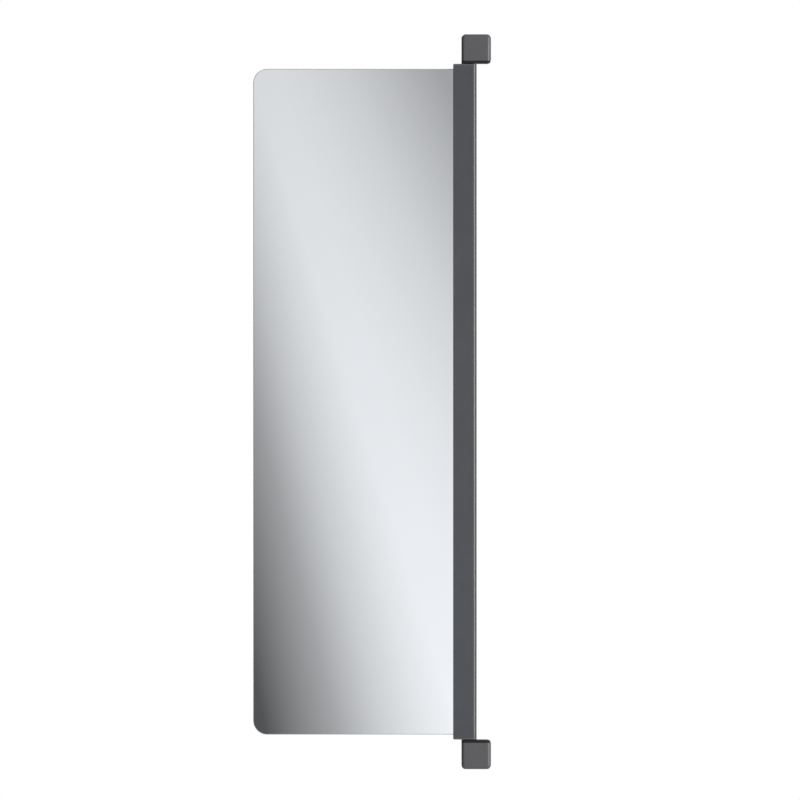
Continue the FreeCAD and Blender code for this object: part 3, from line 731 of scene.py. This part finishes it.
def lathe(profile, segments):
    builder = bmesh.new()
    rings = []
    for radius, z in profile:
        turns = [2 * math.pi * step / segments for step in range(segments)] if radius else [0]
        rings.append([builder.verts.new((radius * math.cos(turn), radius * math.sin(turn), z))
                      for turn in turns])
    for ring, following in zip(rings, rings[1:]):
        for index in range(segments):
            after = (index + 1) % segments
            corners = [ring[index % len(ring)], ring[after % len(ring)],
                       following[after % len(following)], following[index % len(following)]]
            builder.faces.new(list(dict.fromkeys(corners)))
    bmesh.ops.recalc_face_normals(builder, faces=builder.faces)
    return builder


def crossCutter(head, rise):
    length, width = head * screwShape["crossLength"], head * screwShape["crossWidth"]
    outline = [(length, width), (width, width), (width, length)]
    corners = []
    for quarter in range(4):
        turn = math.radians(90 * quarter)
        corners += [(x * math.cos(turn) - y * math.sin(turn), x * math.sin(turn) + y * math.cos(turn))
                    for x, y in outline]
    top, bottom = rise * screwShape["crossTop"], rise * (1 - screwShape["crossDepth"])
    levels = ((top, 1.0), (bottom, screwShape["crossTaper"]))
    builder = bmesh.new()
    upper, lower = [[builder.verts.new((x * scale, y * scale, z)) for x, y in corners]
                    for z, scale in levels]
    for index in range(len(corners)):
        after = (index + 1) % len(corners)
        builder.faces.new((upper[index], upper[after], lower[after], lower[index]))
    builder.faces.new(upper)
    builder.faces.new(lower)
    bmesh.ops.recalc_face_normals(builder, faces=builder.faces)
    return meshFrom(builder, "crossCutter")


def buildScrew(kind):
    sizes = screwSizes[kind]
    body = meshFrom(lathe(screwProfile(**sizes), screwShape["segments"]), f"{kind}Screw")
    screw = bpy.data.objects.new(f"{kind}Screw", body)
    cutter = bpy.data.objects.new("crossCutter", crossCutter(sizes["head"], sizes["rise"]))
    for item in (screw, cutter):
        bpy.context.scene.collection.objects.link(item)
    modifier = screw.modifiers.new("cross", "BOOLEAN")
    modifier.object = cutter
    modifier.operation = "DIFFERENCE"
    modifier.solver = "EXACT"
    depsgraph = bpy.context.evaluated_depsgraph_get()
    mesh = bpy.data.meshes.new_from_object(screw.evaluated_get(depsgraph), depsgraph=depsgraph)
    screw.modifiers.remove(modifier)
    bpy.data.objects.remove(cutter)
    screw.data = mesh
    mesh.shade_smooth()
    mesh.set_sharp_from_angle(angle=math.radians(screwShape["sharpAngle"]))
    return screw


def buildScrewTree():
    tree, source = newGeometryTree("screwSet", {"Screw": "Object", "Axis": "Vector", "Seed": "Int"})
    screw = addNode(tree, "GeometryNodeObjectInfo", {"Object": source["Screw"], "As Instance": True})
    upright = addNode(tree, "FunctionNodeAlignRotationToVector", {"Vector": source["Axis"]}, axis="Z")
    turn = addNode(tree, "FunctionNodeRandomValue", {2: 0.0, 3: math.pi / 2, "Seed": source["Seed"]},
                   data_type="FLOAT")
    spin = addNode(tree, "FunctionNodeAxisAngleToRotation", {"Axis": (0, 0, 1), "Angle": turn.outputs[1]})
    turned = addNode(tree, "FunctionNodeRotateRotation",
                     {"Rotation": upright.outputs[0], "Rotate By": spin.outputs[0]},
                     rotation_space="LOCAL")
    placed = addNode(tree, "GeometryNodeInstanceOnPoints",
                     {"Points": source["Geometry"], "Instance": screw.outputs["Geometry"],
                      "Rotation": turned.outputs[0]})
    endGeometryTree(tree, placed.outputs[0], "screwSteel")
    return tree


def joined(meshes, name):
    builder = bmesh.new()
    for mesh in meshes:
        builder.from_mesh(mesh)
    return meshFrom(builder, name)


def addScrews(tree, kind, body, seats, axis):
    screw = buildScrew(kind)
    replaced = [f"{side}_{kind}_screws" for side in sides]
    meshes = []
    for seed, (name, sign) in enumerate(zip(replaced, sides.values())):
        direction = (axis[0], axis[1], axis[2] * sign)
        points = seats(*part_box(name), sign)
        values = {"Screw": screw, "Axis": direction, "Seed": seed}
        meshes.append(grow(f"{kind}Seats", points, tree, values))
    bpy.data.objects.remove(screw)
    mesh = joined(meshes, f"{kind}Screws")
    addPiece(f"{kind}Screws", mesh, "screwSteel", body, replaced)


# Seats: the middle of the face that each screw's head rests on, from the box of the CAD's screws.
def capSeats(low, high, sign):
    head, rise = screwSizes["cap"]["head"], screwSizes["cap"]["rise"]
    z = (high.z if sign > 0 else low.z) - rise * sign
    return [((low.x + high.x) / 2, y, z) for y in (low.y + head, high.y - head)]


def coverSeats(low, high, sign):
    head, rise = screwSizes["cover"]["head"], screwSizes["cover"]["rise"]
    z = (low.z if sign > 0 else high.z) + rise * sign
    return [(high.x - head, low.y + head, z), (low.x + head, high.y - head, z)]


def railSeats(low, high, sign):
    head, rise = screwSizes["rail"]["head"], screwSizes["rail"]["rise"]
    return [(low.x + rise, y, (low.z + high.z) / 2) for y in (low.y + head, high.y - head)]


screwTree = buildScrewTree()
addScrews(screwTree, "cap", "mirror_leaf", capSeats, (0, 0, 1))
addScrews(screwTree, "cover", "carriage", coverSeats, (0, 0, -1))
addScrews(screwTree, "rail", "carriage", railSeats, (-1, 0, 0))
print("screws made")

bpy.context.scene.view_settings.view_transform = "Standard"
